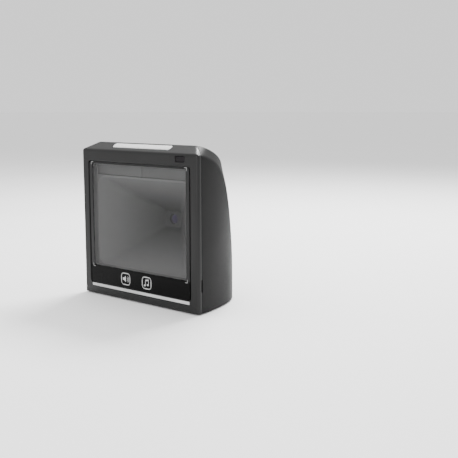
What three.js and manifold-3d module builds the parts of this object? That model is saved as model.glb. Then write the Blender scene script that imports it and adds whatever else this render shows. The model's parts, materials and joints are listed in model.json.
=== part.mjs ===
// Compact vertical presentation barcode scanner, millimetres, +Z up, front facing -Y.
// Design frame: y = 0 on the front face, z = 0 on the underside of the casing. The whole
// group is then moved so that the origin is centred under the scanner, at the feet.
import * as THREE from 'three';
import { mergeVertices } from 'three/addons/utils/BufferGeometryUtils.js';
import Module from 'manifold-3d';

const wasm = await Module();
wasm.setup();

// ---- driving dimensions ------------------------------------------------------------
const WIDTH = 145;
const DEPTH = 78.6;
const FACE_HEIGHT = 134.4; // flat front face
const CREST_HEIGHT = 141.2; // highest line, behind the sloping brow
const CREST_Y = 11.8;
const FOOT_HEIGHT = 1.2;
const WALL = 2.4;
const GAP = 0.3; // clearance between neighbouring pieces
const SEAM_Y = 5; // bezel to housing seam on the side walls
const SHOULDER_Z = 133.4; // where the side walls end and the shoulders begin
const CREST_HALF = 60; // half length of the crest line
const FRONT_CORNER_R = 3;
const EDGE_BEVEL = 1.2; // small bevel where a side wall meets its shoulder
const BELOW = -5; // cutters reach from below the underside...
const ABOVE = 160; // ...to above the crest

const WINDOW = { half: 63.8, bottom: 10, top: 124.2, corner: 2.5 };
const PANE = { half: 62.4, bottom: 10.6, top: 122.6, y: 0.6, thick: 1.8 }; // nearly flush
const BEHIND_PANE = PANE.y + PANE.thick + GAP;
const GASKET = { half: 66, bottom: 6.2, top: 127.6, thick: 3.6 };
const TOUCH_TOP = 26.3; // top of the dark touch band
const TOUCH_PAD = { centre: -3, spread: 13.5, z: 18.5, w: 11, h: 10.4 };
const SILL = { half: 62, bottom: 6.7, top: 9.3, depth: 1.6 };
const SENSOR_WINDOW = { x: 52.5, z: 130, w: 11, h: 5.3 };
const STATUS = { half: 35.7, width: 6.2, along: 0.62 };

const COVER = { inner: 12.3, outer: 42, top: 35, strip: 6, wall: 2.2 };
const NOTCHES = [{ from: 25.5, to: 37, top: 6.6 }, { from: -35, to: -18, top: 6.4 }];

const CAMERA_Z = 70; // optical axis height
const FUNNEL_END_Y = 48;
const FUNNEL_WALL = 2;
const FUNNEL_NEAR = { half: 58.6, low: 27.2, high: 109.6 }; // inner faces at the pane end
const FUNNEL_FAR = { half: 9, low: CAMERA_Z - 6.4, high: CAMERA_Z + 6.4 };
const APERTURE_R = 4.4;
const LIGHT_BAR = { from: 1.5, to: 57.5, low: 111.6, high: 120.6 }; // above the funnel
const SENSOR_BOARD_Y = 59;
const MAIN_BOARD_Y = 64;
const IO_BOARD_Y = 54;
const BOARD_THICK = 1.4;
const SCREW_R = 1.4;
const SCREW_SEAT = 1.3; // depth of the screw heads' recesses in the base plate
const BASE_THICK = 2.2;

const BASE_SCREWS = [[-65, 16], [65, 16], [-50, 57], [50, 57]];
const BOARD_SCREWS = [[-34, 46], [34, 46], [-34, 86], [34, 86]];
const FEET = [[-52, 12], [52, 12], [-30, 58], [30, 58]];
const FOOT_R = 6;
const SPEAKER = { x: 42, y: 34, z: 4.2 };
const BADGE = [[-16, 55], [16, 55], [16, 64], [11.5, 71.5], [-11.5, 71.5], [-16, 64]];
const BADGE_DEPTH = 0.8;

// ---- materials ---------------------------------------------------------------------
const material = (color, roughness, metalness = 0) =>
  new THREE.MeshStandardMaterial({ color, roughness, metalness });
const DARK_PLASTIC = material(0x38393b, 0.6);
const BLACK_PLASTIC = material(0x17181a, 0.55);
const SHROUD_PLASTIC = material(0x8b8d90, 0.6);
const RUBBER = material(0x1c1c1d, 0.9);
const GLASS = material(0x6d7072, 0.08);
const CLEAR = material(0xd9dcdd, 0.3);
const SILL_GREY = material(0xa9abad, 0.45);
const BOARD_GREEN = material(0x1f5a3c, 0.5);
const COPPER = material(0xa8643a, 0.4, 0.9);
const STEEL = material(0x9a9c9e, 0.35, 0.9);
const ALUMINIUM = material(0xb4b6b8, 0.4, 0.9);
const PAPER_CONE = material(0x2a2724, 0.95);

// ---- geometry helpers --------------------------------------------------------------
function weld(geometry) {
  const bare = geometry.clone();
  bare.deleteAttribute('normal');
  bare.deleteAttribute('uv');
  const merged = mergeVertices(bare, 1e-4);
  const index = merged.index.array;
  const kept = [];
  for (let i = 0; i < index.length; i += 3) {
    const [a, b, c] = [index[i], index[i + 1], index[i + 2]];
    if (a !== b && b !== c && a !== c) {
      kept.push(a, b, c);
    }
  }
  merged.setIndex(kept);
  return merged;
}

function solid(geometry) {
  const merged = weld(geometry);
  const vertProperties = new Float32Array(merged.attributes.position.array);
  const triVerts = new Uint32Array(merged.index.array);
  return new wasm.Manifold(new wasm.Mesh({ numProp: 3, vertProperties, triVerts }));
}

function geometryOf(shape) {
  const mesh = shape.getMesh();
  const geometry = new THREE.BufferGeometry();
  geometry.setAttribute('position', new THREE.BufferAttribute(mesh.vertProperties, 3));
  geometry.setIndex(new THREE.BufferAttribute(mesh.triVerts, 1));
  geometry.computeVertexNormals();
  return geometry;
}

// An outline is a list of [a, b] pairs. Along z it is (x, y), along y (x, z), along x (y, z).
function prism(outline, axis, from, to) {
  const shape = new THREE.Shape(outline.map(([a, b]) => new THREE.Vector2(a, b)));
  const geometry = new THREE.ExtrudeGeometry(shape, { depth: to - from, bevelEnabled: false });
  if (axis === 'z') {
    geometry.translate(0, 0, from);
  }
  if (axis === 'y') {
    geometry.rotateX(Math.PI / 2);
    geometry.translate(0, to, 0);
  }
  if (axis === 'x') {
    const turn = new THREE.Matrix4().makeBasis(
      new THREE.Vector3(0, 1, 0), new THREE.Vector3(0, 0, 1), new THREE.Vector3(1, 0, 0));
    geometry.applyMatrix4(turn);
    geometry.translate(from, 0, 0);
  }
  return solid(geometry);
}

function block(x, y, z) {
  const geometry = new THREE.BoxGeometry(x[1] - x[0], y[1] - y[0], z[1] - z[0]);
  geometry.translate((x[0] + x[1]) / 2, (y[0] + y[1]) / 2, (z[0] + z[1]) / 2);
  return solid(geometry);
}

// Cylinder along an axis; across gives the two coordinates of the axis line.
function rod(radius, axis, across, from, to, segments = 20, endRadius = radius) {
  const geometry = new THREE.CylinderGeometry(endRadius, radius, to - from, segments);
  const middle = (from + to) / 2;
  if (axis === 'z') {
    geometry.rotateX(Math.PI / 2);
    geometry.translate(across[0], across[1], middle);
  } else {
    geometry.translate(across[0], middle, across[1]);
  }
  return solid(geometry);
}

function ring(outer, inner, axis, across, from, to, segments = 24) {
  return rod(outer, axis, across, from, to, segments)
    .subtract(rod(inner, axis, across, from - 1, to + 1, segments));
}

function roundedRect(x0, x1, z0, z1, radius, steps = 4) {
  const corners = [[x1 - radius, z0 + radius, -90], [x1 - radius, z1 - radius, 0],
    [x0 + radius, z1 - radius, 90], [x0 + radius, z0 + radius, 180]];
  const points = [];
  for (const [cx, cz, start] of corners) {
    for (let i = 0; i <= steps; i += 1) {
      const angle = THREE.MathUtils.degToRad(start + (90 * i) / steps);
      points.push([cx + radius * Math.cos(angle), cz + radius * Math.sin(angle)]);
    }
  }
  return points;
}

// Closed surface through rings of equal point count, stacked from low to high.
function loft(rings) {
  const count = rings[0].length;
  const positions = rings.flat(2);
  const index = [];
  for (let level = 0; level + 1 < rings.length; level += 1) {
    for (let i = 0; i < count; i += 1) {
      const next = (i + 1) % count;
      const [a, b] = [level * count + i, level * count + next];
      const [c, d] = [a + count, b + count];
      index.push(a, b, d, a, d, c);
    }
  }
  const top = (rings.length - 1) * count;
  for (let i = 1; i + 1 < count; i += 1) {
    index.push(0, i + 1, i);
    index.push(top, top + i, top + i + 1);
  }
  const geometry = new THREE.BufferGeometry();
  geometry.setAttribute('position', new THREE.Float32BufferAttribute(positions, 3));
  geometry.setIndex(index);
  return solid(geometry);
}

function frustum(near, far) {
  const corners = ({ half, low, high, y }) =>
    [[-half, y, low], [-half, y, high], [half, y, high], [half, y, low]];
  return loft([corners(near), corners(far)]);
}

// ---- casing form -------------------------------------------------------------------
// Outline seen from above: flat front, gently tapering sides, big round rear corners.
function planOutline(inset) {
  const side = WIDTH / 2 - inset;
  const rear = DEPTH - inset;
  const radius = Math.max(FRONT_CORNER_R - inset * 0.8, 0.6);
  const right = [];
  for (let i = 0; i <= 4; i += 1) {
    const angle = THREE.MathUtils.degToRad(-90 + (90 * i) / 4);
    const [across, out] = [radius * Math.cos(angle), radius * Math.sin(angle)];
    right.push([side - radius + across, inset + radius + out]);
  }
  const wall = new THREE.CubicBezierCurve(
    new THREE.Vector2(side, inset + radius), new THREE.Vector2(side - 2.4, 33.7),
    new THREE.Vector2(59 - inset, rear), new THREE.Vector2(34.7, rear));
  right.push(...wall.getPoints(14).slice(1).map((p) => [p.x, p.y]));
  const left = right.map(([x, y]) => [-x, y]).reverse();
  return [...right, ...left];
}

const topZ = (y) => CREST_HEIGHT - 0.2 * (y - CREST_Y) - 0.0041 * (y - CREST_Y) ** 2;

// Outline seen from the side: upright front, brow up to the crest, long slope to the rear.
function sideOutline(inset, bottom) {
  const points = [[inset, bottom]];
  points.push([inset, FACE_HEIGHT - 0.9 - inset], [inset + 0.7, FACE_HEIGHT + 0.4 - inset]);
  points.push([CREST_Y - 1, CREST_HEIGHT - 0.35 - inset * 1.1]);
  points.push([CREST_Y + 0.6, CREST_HEIGHT - inset * 1.1]);
  for (let i = 1; i <= 8; i += 1) {
    const y = CREST_Y + 0.6 + (i * (DEPTH + 4 - CREST_Y)) / 8;
    points.push([y, topZ(y) - inset * 1.15]);
  }
  points.push([DEPTH + 4.6, bottom]);
  return points.reverse();
}

// Outline seen from the front: upright sides and sloping shoulders up to the crest.
function frontOutline(inset, bottom) {
  const side = WIDTH / 2 - inset;
  const shoulder = SHOULDER_Z - inset * 0.5;
  const crest = CREST_HEIGHT + 0.2 - inset;
  const right = [[side, bottom], [side, shoulder]];
  right.push([side - EDGE_BEVEL, shoulder + EDGE_BEVEL], [CREST_HALF - inset * 0.4, crest]);
  return [...right, ...right.map(([x, z]) => [-x, z]).reverse()];
}

// Leaning wall: one smooth sheet over the rear corners, the shoulders and the rear.
// Each station gives the control points of its half outline at one height.
const LEAN = [
  { z: 0, side: 92, bulge: [101, 43], rear: 78, depth: 83 },
  { z: 80, side: 100, bulge: [109, 12], rear: 52, depth: 81 },
  { z: 140, side: 68, bulge: [64, 11.5], rear: 54.5, depth: 81.3 },
];

function leanAt(z, value) {
  const [a, b, c] = LEAN;
  return value(a) * (z - b.z) * (z - c.z) / ((a.z - b.z) * (a.z - c.z))
    + value(b) * (z - a.z) * (z - c.z) / ((b.z - a.z) * (b.z - c.z))
    + value(c) * (z - a.z) * (z - b.z) / ((c.z - a.z) * (c.z - b.z));
}

function leaningWall(inset, levels = 11) {
  const rings = [];
  for (let i = 0; i <= levels; i += 1) {
    const z = -4 + (150 * i) / levels;
    const at = (value) => leanAt(Math.max(z, 0), value);
    const depth = at((s) => s.depth) - inset;
    const half = new THREE.CubicBezierCurve(
      new THREE.Vector2(at((s) => s.side) - inset, 0),
      new THREE.Vector2(at((s) => s.bulge[0]) - inset, at((s) => s.bulge[1])),
      new THREE.Vector2(at((s) => s.rear) - inset * 0.4, depth),
      new THREE.Vector2(0, depth));
    const right = half.getPoints(15).map((p) => [p.x, p.y, z]);
    const left = right.slice(0, -1).map(([x, y]) => [-x, y, z]).reverse();
    rings.push([...right, ...left]);
  }
  return loft(rings);
}

function casing(inset, bottom, leaning) {
  const form = prism(planOutline(inset), 'z', bottom, ABOVE)
    .intersect(prism(sideOutline(inset, bottom - 1), 'x', -90, 90))
    .intersect(prism(frontOutline(inset, bottom - 1), 'y', -5, 95));
  return leaning ? form.intersect(leaningWall(inset)) : form;
}

const BROW_HALF = CREST_HALF - 1.4;
const BEHIND = 95; // cutters reach past the rear wall
const bezelSide = [[-5, BELOW], [SEAM_Y - GAP / 2, BELOW], [SEAM_Y - GAP / 2, SHOULDER_Z],
  [CREST_Y - GAP / 2, CREST_HEIGHT], [CREST_Y - GAP / 2, ABOVE], [-5, ABOVE]];
const housingSide = [[SEAM_Y + GAP / 2, BELOW], [BEHIND, BELOW], [BEHIND, ABOVE],
  [CREST_Y + GAP / 2, ABOVE], [CREST_Y + GAP / 2, CREST_HEIGHT],
  [SEAM_Y + GAP / 2, SHOULDER_Z]];

const browAngle = Math.atan2(CREST_HEIGHT - FACE_HEIGHT, CREST_Y);
const browLength = Math.hypot(CREST_HEIGHT - FACE_HEIGHT, CREST_Y);

// A shape drawn flat (x across, y along the brow, z out of it), set on the brow.
function onBrow(shape) {
  return shape.rotate([THREE.MathUtils.radToDeg(browAngle), 0, 0])
    .translate([0, 0, FACE_HEIGHT + 0.15]);
}

// ---- front pieces ------------------------------------------------------------------
function frontBezel() {
  const { half, bottom, top, corner } = WINDOW;
  const opening = prism(roundedRect(-half, half, bottom, top, corner), 'y', -1, 5);
  const flare = loft([[-1, 1.2], [0.6, 0]].map(([y, grow]) =>
    roundedRect(-half - grow, half + grow, bottom - 0.2, top + grow, corner)
      .map(([x, z]) => [x, y, z]).reverse()));
  const sensorHole = prism(roundedRect(SENSOR_WINDOW.x - SENSOR_WINDOW.w / 2,
    SENSOR_WINDOW.x + SENSOR_WINDOW.w / 2, SENSOR_WINDOW.z - SENSOR_WINDOW.h / 2,
    SENSOR_WINDOW.z + SENSOR_WINDOW.h / 2, 1), 'y', -1, 5);
  const sillGroove = block([-SILL.half - GAP, SILL.half + GAP], [-1, SILL.depth + GAP],
    [SILL.bottom - GAP, WINDOW.bottom + 0.5]);
  const along = STATUS.along * browLength;
  const statusSlot = onBrow(prism(roundedRect(-STATUS.half - GAP, STATUS.half + GAP,
    along - STATUS.width / 2 - GAP, along + STATUS.width / 2 + GAP, 2.4), 'z', -6, 3));
  const brow = block([-BROW_HALF, BROW_HALF], [-5, CREST_Y - GAP / 2], [100, 160]);
  return casing(0, 0, false).intersect(prism(bezelSide, 'x', -90, 90).add(brow))
    .subtract(casing(WALL, -2, false))
    .subtract(opening).subtract(flare).subtract(sensorHole)
    .subtract(sillGroove).subtract(statusSlot);
}

function scanWindow() {
  const { half, bottom, top, y, thick } = PANE;
  return prism(roundedRect(-half, half, bottom, top, 2), 'y', y, y + thick);
}

function windowGasket() {
  const { half, bottom, top, thick } = GASKET;
  const from = BEHIND_PANE;
  const frame = prism(roundedRect(-half, half, bottom, top, 3), 'y', from, from + thick);
  const mouth = roundedRect(-60.5, 60.5, 10.5, 121.5, 2);
  return frame.subtract(prism(mouth, 'y', from - 1, from + thick + 1));
}

function touchBoard() {
  const front = BEHIND_PANE + 0.6;
  return prism(roundedRect(-60, 60, 11, TOUCH_TOP, 1), 'y', front, front + 1);
}

function touchPad(side) {
  const { centre, spread, z, w, h } = TOUCH_PAD;
  const x = centre + side * spread;
  const outline = roundedRect(x - w / 2, x + w / 2, z - h / 2, z + h / 2, 2);
  return prism(outline, 'y', BEHIND_PANE, BEHIND_PANE + 0.3);
}

function sillTrim() {
  const strip = block([-SILL.half, SILL.half], [0.2, SILL.depth], [SILL.bottom, SILL.top]);
  let ribs = strip;
  const pitch = 4;
  for (let x = -SILL.half + pitch; x < SILL.half; x += pitch) {
    ribs = ribs.subtract(block([x - 0.25, x + 0.25], [0, 0.5], [SILL.bottom - 1, SILL.top + 1]));
  }
  return ribs;
}

function sensorWindow() {
  const { x, z, w, h } = SENSOR_WINDOW;
  const [a, b] = [w / 2 - GAP, h / 2 - GAP];
  return prism(roundedRect(x - a, x + a, z - b, z + b, 0.8), 'y', 0.15, 1.9);
}

function presenceSensor() {
  const { x } = SENSOR_WINDOW;
  let body = block([x - 5, x + 5], [5.9, 8.9], [127.9, 130.6]);
  for (const eye of [-2.4, 2.4]) {
    body = body.add(rod(0.9, 'y', [x + eye, 129.3], 4.9, 6.7, 12));
  }
  return body;
}

function statusLens() {
  const along = STATUS.along * browLength;
  const lens = prism(roundedRect(-STATUS.half, STATUS.half, along - STATUS.width / 2,
    along + STATUS.width / 2, 2.2), 'z', -2.6, 0.25);
  return onBrow(lens);
}

function statusBoard() {
  const along = STATUS.along * browLength;
  return onBrow(block([-38, 38], [along - 3, along + 3], [-6, -5]));
}

function statusLed(offset) {
  const along = STATUS.along * browLength;
  return onBrow(block([offset - 1.6, offset + 1.6], [along - 1.2, along + 1.2], [-4.7, -3.4]));
}

// ---- casing pieces -----------------------------------------------------------------
function coverRegion(grow) {
  const { inner, outer, top, strip } = COVER;
  const whole = block([-outer - grow, outer + grow], [62, 90], [-3, top + grow]);
  const tongue = block([-inner + grow, inner - grow], [60, 95], [strip + grow, 60]);
  return whole.subtract(tongue);
}

function rearHousing() {
  let shell = casing(0, 0, true).subtract(casing(WALL, -2, true));
  for (const [x, y] of BASE_SCREWS) {
    const low = BASE_THICK + GAP + 0.1;
    const boss = rod(SCREW_R + 3.2, 'z', [x, y], low, 14, 16);
    const rib = block(x > 0 ? [x, WIDTH] : [-WIDTH, x], [y - 1.2, y + 1.2], [low, 12]);
    shell = shell.add(boss.add(rib).intersect(casing(0.5, 0, true)));
  }
  for (const [x, z] of BOARD_SCREWS) {
    const boss = rod(3, 'y', [x, z], MAIN_BOARD_Y + BOARD_THICK + GAP, DEPTH, 16);
    shell = shell.add(boss.intersect(casing(0.5, 0, true)));
  }
  for (const [x, y] of BASE_SCREWS) {
    shell = shell.subtract(rod(SCREW_R + GAP, 'z', [x, y], -1, 11.5, 12));
  }
  for (const [x, z] of BOARD_SCREWS) {
    shell = shell.subtract(rod(SCREW_R + GAP, 'y', [x, z], MAIN_BOARD_Y, MAIN_BOARD_Y + 7, 12));
  }
  // shallow arched recess on the rear slope, left blank
  const badge = prism(BADGE, 'z', 60, ABOVE).subtract(casing(BADGE_DEPTH, -2, true));
  const brow = block([-BROW_HALF - GAP, BROW_HALF + GAP], [-5, CREST_Y + GAP / 2], [100, 160]);
  return shell.subtract(badge).subtract(coverRegion(GAP)).subtract(brow)
    .intersect(prism(housingSide, 'x', -90, 90));
}

function cableCover() {
  let cover = casing(0, 0, true).subtract(casing(COVER.wall, -2, true)).intersect(coverRegion(0));
  for (const side of [-1, 1]) {
    const x = side * (COVER.outer - 6);
    // snap tongue standing up behind the housing wall
    const hook = block([x - 3, x + 3], [50, DEPTH], [27, COVER.top + 3])
      .intersect(casing(WALL + 0.6, 0, true));
    const root = block([x - 3, x + 3], [50, DEPTH], [27, 31]).intersect(casing(1, 0, true));
    cover = cover.add(hook.add(root).subtract(casing(WALL + 2.2, -2, true)));
  }
  for (const { from, to, top } of NOTCHES) {
    const mouth = roundedRect(from, to, -8, top, 2);
    cover = cover.subtract(prism(mouth, 'y', 60, 90));
  }
  return cover;
}

function basePlate() {
  let plate = casing(WALL + GAP, -2, true)
    .intersect(block([-WIDTH, WIDTH], [-5, BEHIND], [0, BASE_THICK]));
  for (const y of [22, 44]) {
    plate = plate.add(block([-40, 20], [y, y + 1.2], [BASE_THICK - 0.1, BASE_THICK + 1.6]));
  }
  for (const { from, to } of NOTCHES) {
    plate = plate.subtract(prism(roundedRect(from, to, 68, 90, 2), 'z', -1, 5));
  }
  for (const [x, y] of BASE_SCREWS) {
    plate = plate.subtract(rod(SCREW_R + GAP, 'z', [x, y], -1, 5, 12));
    plate = plate.subtract(rod(3.1, 'z', [x, y], -1, SCREW_SEAT, 14));
  }
  for (const [x, y] of FEET) {
    plate = plate.subtract(rod(FOOT_R + GAP, 'z', [x, y], -1, 0.9, 18));
  }
  for (let i = -2; i <= 2; i += 1) {
    const y = SPEAKER.y + i * 4.2;
    const reach = 10.5 - Math.abs(i) * 1.4;
    const slot = roundedRect(SPEAKER.x - reach, SPEAKER.x + reach, y - 0.9, y + 0.9, 0.8, 2);
    plate = plate.subtract(prism(slot, 'z', -1, 5));
  }
  return plate;
}

function foot([x, y]) {
  const profile = [[0, -FOOT_HEIGHT], [FOOT_R - 0.8, -FOOT_HEIGHT], [FOOT_R, -FOOT_HEIGHT + 0.7],
    [FOOT_R, 0.6], [0, 0.6]];
  const geometry = new THREE.LatheGeometry(profile.map(([r, z]) => new THREE.Vector2(r, z)), 24);
  geometry.rotateX(Math.PI / 2);
  geometry.translate(x, y, 0);
  return solid(geometry);
}

// Pan-head screw: across is its axis line, seat the underside of its head, way its direction.
function screw(axis, across, seat, way, length) {
  const span = (a, b) => [seat + way * a, seat + way * b].sort((p, q) => p - q);
  const head = rod(2.7, axis, across, ...span(-1.2, 0), 16);
  const shank = rod(SCREW_R, axis, across, ...span(-0.2, length), 12);
  const slot = rod(0.9, axis, across, ...span(-2, -0.5), 6);
  return head.add(shank).subtract(slot);
}

// ---- optics ------------------------------------------------------------------------
const SHROUD_Y = BEHIND_PANE + GASKET.thick + GAP;

function opticalShroud() {
  const grown = ({ half, low, high }, by, y) =>
    ({ half: half + by, low: low - by, high: high + by, y });
  const outer = frustum(grown(FUNNEL_NEAR, FUNNEL_WALL, SHROUD_Y),
    grown(FUNNEL_FAR, FUNNEL_WALL, FUNNEL_END_Y));
  const inner = frustum(grown(FUNNEL_NEAR, 0, SHROUD_Y - 0.01),
    grown(FUNNEL_FAR, 0, FUNNEL_END_Y - 1.2));
  const flange = prism(roundedRect(-63.5, 63.5, 24.6, 123.5, 2), 'y', SHROUD_Y, SHROUD_Y + 1.3);
  const { half, low, high } = FUNNEL_NEAR;
  const mouth = block([-half, half], [SHROUD_Y - 1, SHROUD_Y + 1.2], [low, high]);
  const lightSlot = block([-LIGHT_BAR.to - GAP, LIGHT_BAR.to + GAP], [SHROUD_Y - 1, SHROUD_Y + 3],
    [LIGHT_BAR.low - GAP, LIGHT_BAR.high + GAP]);
  const aperture = rod(APERTURE_R, 'y', [0, CAMERA_Z], FUNNEL_END_Y - 3, FUNNEL_END_Y + 1, 28);
  return outer.add(flange.subtract(mouth)).subtract(inner).subtract(lightSlot).subtract(aperture);
}

function antennaCoil() {
  const y0 = SHROUD_Y + 1.8;
  const outer = prism(roundedRect(-67.5, 67.5, 5.5, 125, 4), 'y', y0, y0 + 2.2);
  const inner = prism(roundedRect(-64.5, 64.5, 8.5, 122, 3), 'y', y0 - 1, y0 + 4);
  return outer.subtract(inner);
}

function cameraBracket() {
  const y0 = FUNNEL_END_Y + GAP;
  const plate = prism(roundedRect(-20, 20, CAMERA_Z - 16, CAMERA_Z + 16, 3), 'y', y0, y0 + 1.6);
  return plate.subtract(rod(8.3, 'y', [0, CAMERA_Z], y0 - 1, y0 + 3, 28));
}

function lensHolder() {
  const y0 = FUNNEL_END_Y + GAP + 1.6 + GAP;
  const outline = roundedRect(-10, 10, CAMERA_Z - 10, CAMERA_Z + 10, 2);
  const body = prism(outline, 'y', y0, SENSOR_BOARD_Y - GAP);
  return body.subtract(rod(7.5, 'y', [0, CAMERA_Z], y0 - 1, SENSOR_BOARD_Y + 1, 28));
}

function lensBarrel() {
  const from = FUNNEL_END_Y + GAP;
  const to = SENSOR_BOARD_Y - 4;
  return ring(7.2, 5.2, 'y', [0, CAMERA_Z], from, to, 28);
}

function lensElement() {
  const profile = [[0, -1.7], [2.5, -1.45], [4.9, -0.5], [4.9, 1.1], [0, 1.1]];
  const geometry = new THREE.LatheGeometry(profile.map(([r, y]) => new THREE.Vector2(r, y)), 24);
  geometry.translate(0, FUNNEL_END_Y + 3, CAMERA_Z);
  return solid(geometry);
}

function sensorBoard() {
  return prism(roundedRect(-17, 17, CAMERA_Z - 14, CAMERA_Z + 14, 1.5), 'y',
    SENSOR_BOARD_Y, SENSOR_BOARD_Y + BOARD_THICK);
}

function imageSensor() {
  const rear = SENSOR_BOARD_Y - GAP;
  return block([-4.5, 4.5], [rear - 1.4, rear], [CAMERA_Z - 4, CAMERA_Z + 4]);
}

function lightBoard(side) {
  const [a, b] = [side * LIGHT_BAR.from, side * LIGHT_BAR.to].sort((p, q) => p - q);
  const y0 = SHROUD_Y + 2.7;
  return block([a, b], [y0, y0 + BOARD_THICK], [LIGHT_BAR.low, LIGHT_BAR.high]);
}

// Diffuser strip with shallow upright grooves, in the slot above the funnel.
function lightLens(side) {
  const [a, b] = [side * LIGHT_BAR.from, side * LIGHT_BAR.to].sort((p, q) => p - q);
  const y0 = SHROUD_Y + 0.3;
  let lens = prism(roundedRect(a, b, LIGHT_BAR.low, LIGHT_BAR.high, 1), 'y', y0, y0 + 2.1);
  for (let x = a + 8; x < b - 4; x += 8) {
    lens = lens.subtract(block([x - 0.25, x + 0.25], [y0 - 1, y0 + 0.5], [100, 130]));
  }
  return lens;
}

// ---- electronics -------------------------------------------------------------------
function mainBoard() {
  let board = prism(roundedRect(-41, 41, 38, 92, 2), 'y', MAIN_BOARD_Y, MAIN_BOARD_Y + BOARD_THICK);
  for (const [x, z] of BOARD_SCREWS) {
    board = board.subtract(rod(SCREW_R + GAP, 'y', [x, z], MAIN_BOARD_Y - 1, MAIN_BOARD_Y + 3, 12));
  }
  return board;
}

function processorShield() {
  const y0 = MAIN_BOARD_Y + BOARD_THICK + GAP;
  return prism(roundedRect(-13, 13, 58, 84, 1), 'y', y0, y0 + 2.4);
}

function heatSpreader() {
  const y0 = MAIN_BOARD_Y + BOARD_THICK + GAP + 2.4 + GAP;
  let plate = block([-26, 26], [y0, y0 + 1.4], [52, 90]);
  for (let x = -21; x <= 21; x += 7) {
    plate = plate.add(block([x - 0.6, x + 0.6], [y0 + 1.3, y0 + 3], [54, 88]));
  }
  return plate;
}

function ioBoard() {
  return block([-41, 41], [IO_BOARD_Y, IO_BOARD_Y + BOARD_THICK], [4.5, 33]);
}

const PORT_Y = IO_BOARD_Y + BOARD_THICK + GAP;
const PORT_LENGTH = 13.5;

function hostPort() {
  const body = block([20, 36], [PORT_Y, PORT_Y + PORT_LENGTH], [11, 25]);
  const socket = block([22, 34], [PORT_Y + 2.5, PORT_Y + 15], [13, 21]);
  const latch = block([25, 31], [PORT_Y + 2.5, PORT_Y + 15], [20, 23.4]);
  return body.subtract(socket).subtract(latch);
}

function auxPort() {
  const body = block([-26.3, -11.5], [PORT_Y, PORT_Y + PORT_LENGTH], [12, 19.4]);
  const socket = block([-25.4, -12.4], [PORT_Y + 1.5, PORT_Y + 15], [13, 18.4]);
  const tongue = block([-24.4, -13.4], [PORT_Y + 1, PORT_Y + 12], [16, 17.7]);
  return body.subtract(socket).add(tongue);
}

function powerJack() {
  const body = block([-38, -29], [PORT_Y, PORT_Y + PORT_LENGTH], [11, 22]);
  const hole = rod(3.2, 'y', [-33.5, 16.5], PORT_Y + 2, PORT_Y + 15, 20);
  const pin = rod(0.9, 'y', [-33.5, 16.5], PORT_Y + 1, PORT_Y + 12, 10);
  return body.subtract(hole).add(pin);
}

// ---- speaker, facing down over the slots in the base --------------------------------
function lathe(points) {
  const geometry = new THREE.LatheGeometry(points.map(([r, z]) => new THREE.Vector2(r, z)), 32);
  geometry.rotateX(Math.PI / 2);
  geometry.translate(SPEAKER.x, SPEAKER.y, SPEAKER.z);
  return solid(geometry);
}

function speakerBasket() {
  return lathe([[12.2, 0], [14, 0], [14, 1.6], [9.5, 7.6], [5, 7.6], [5, 6.4], [8.7, 6.4],
    [12.2, 1.4], [12.2, 0]]);
}

function speakerMagnet() {
  return lathe([[0, 8], [7.5, 8], [7.5, 11.5], [0, 11.5]]);
}

function speakerCone() {
  return lathe([[0, 3.3], [3.4, 3.3], [11.4, 1.1], [11.4, 1.5], [3.6, 3.8], [3.6, 6.9],
    [3.1, 6.9], [3.1, 3.8], [0, 3.8]]);
}

// ---- assembly ----------------------------------------------------------------------
const scanner = new THREE.Group();
scanner.position.set(0, -DEPTH / 2, FOOT_HEIGHT);

function place(name, shape, look) {
  const mesh = new THREE.Mesh(geometryOf(shape), look);
  mesh.name = name;
  scanner.add(mesh);
}

place('front_bezel', frontBezel(), DARK_PLASTIC);
place('scan_window', scanWindow(), GLASS);
place('window_gasket', windowGasket(), RUBBER);
place('touch_board', touchBoard(), BLACK_PLASTIC);
place('volume_touch_pad', touchPad(-1), COPPER);
place('tone_touch_pad', touchPad(1), COPPER);
place('sill_trim', sillTrim(), SILL_GREY);
place('sensor_window', sensorWindow(), BLACK_PLASTIC);
place('presence_sensor', presenceSensor(), BLACK_PLASTIC);
place('status_lens', statusLens(), CLEAR);
place('status_board', statusBoard(), BOARD_GREEN);
place('status_led_left', statusLed(-22), CLEAR);
place('status_led_middle', statusLed(0), CLEAR);
place('status_led_right', statusLed(22), CLEAR);

place('rear_housing', rearHousing(), DARK_PLASTIC);
place('cable_cover', cableCover(), DARK_PLASTIC);
place('base_plate', basePlate(), BLACK_PLASTIC);
FEET.forEach((spot, i) => place(`rubber_foot_${i + 1}`, foot(spot), RUBBER));
BASE_SCREWS.forEach((spot, i) =>
  place(`base_screw_${i + 1}`, screw('z', spot, SCREW_SEAT - GAP, 1, 9), STEEL));

place('optical_shroud', opticalShroud(), SHROUD_PLASTIC);
place('antenna_coil', antennaCoil(), COPPER);
place('camera_bracket', cameraBracket(), ALUMINIUM);
place('lens_holder', lensHolder(), BLACK_PLASTIC);
place('lens_barrel', lensBarrel(), BLACK_PLASTIC);
place('lens_element', lensElement(), GLASS);
place('sensor_board', sensorBoard(), BOARD_GREEN);
place('image_sensor', imageSensor(), BLACK_PLASTIC);
place('light_board_left', lightBoard(-1), BOARD_GREEN);
place('light_board_right', lightBoard(1), BOARD_GREEN);
place('light_lens_left', lightLens(-1), CLEAR);
place('light_lens_right', lightLens(1), CLEAR);

place('main_board', mainBoard(), BOARD_GREEN);
BOARD_SCREWS.forEach((spot, i) =>
  place(`board_screw_${i + 1}`, screw('y', spot, MAIN_BOARD_Y - GAP, 1, 6), STEEL));
place('processor_shield', processorShield(), STEEL);
place('heat_spreader', heatSpreader(), ALUMINIUM);
place('io_board', ioBoard(), BOARD_GREEN);
place('host_port', hostPort(), BLACK_PLASTIC);
place('aux_port', auxPort(), STEEL);
place('power_jack', powerJack(), BLACK_PLASTIC);

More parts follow.
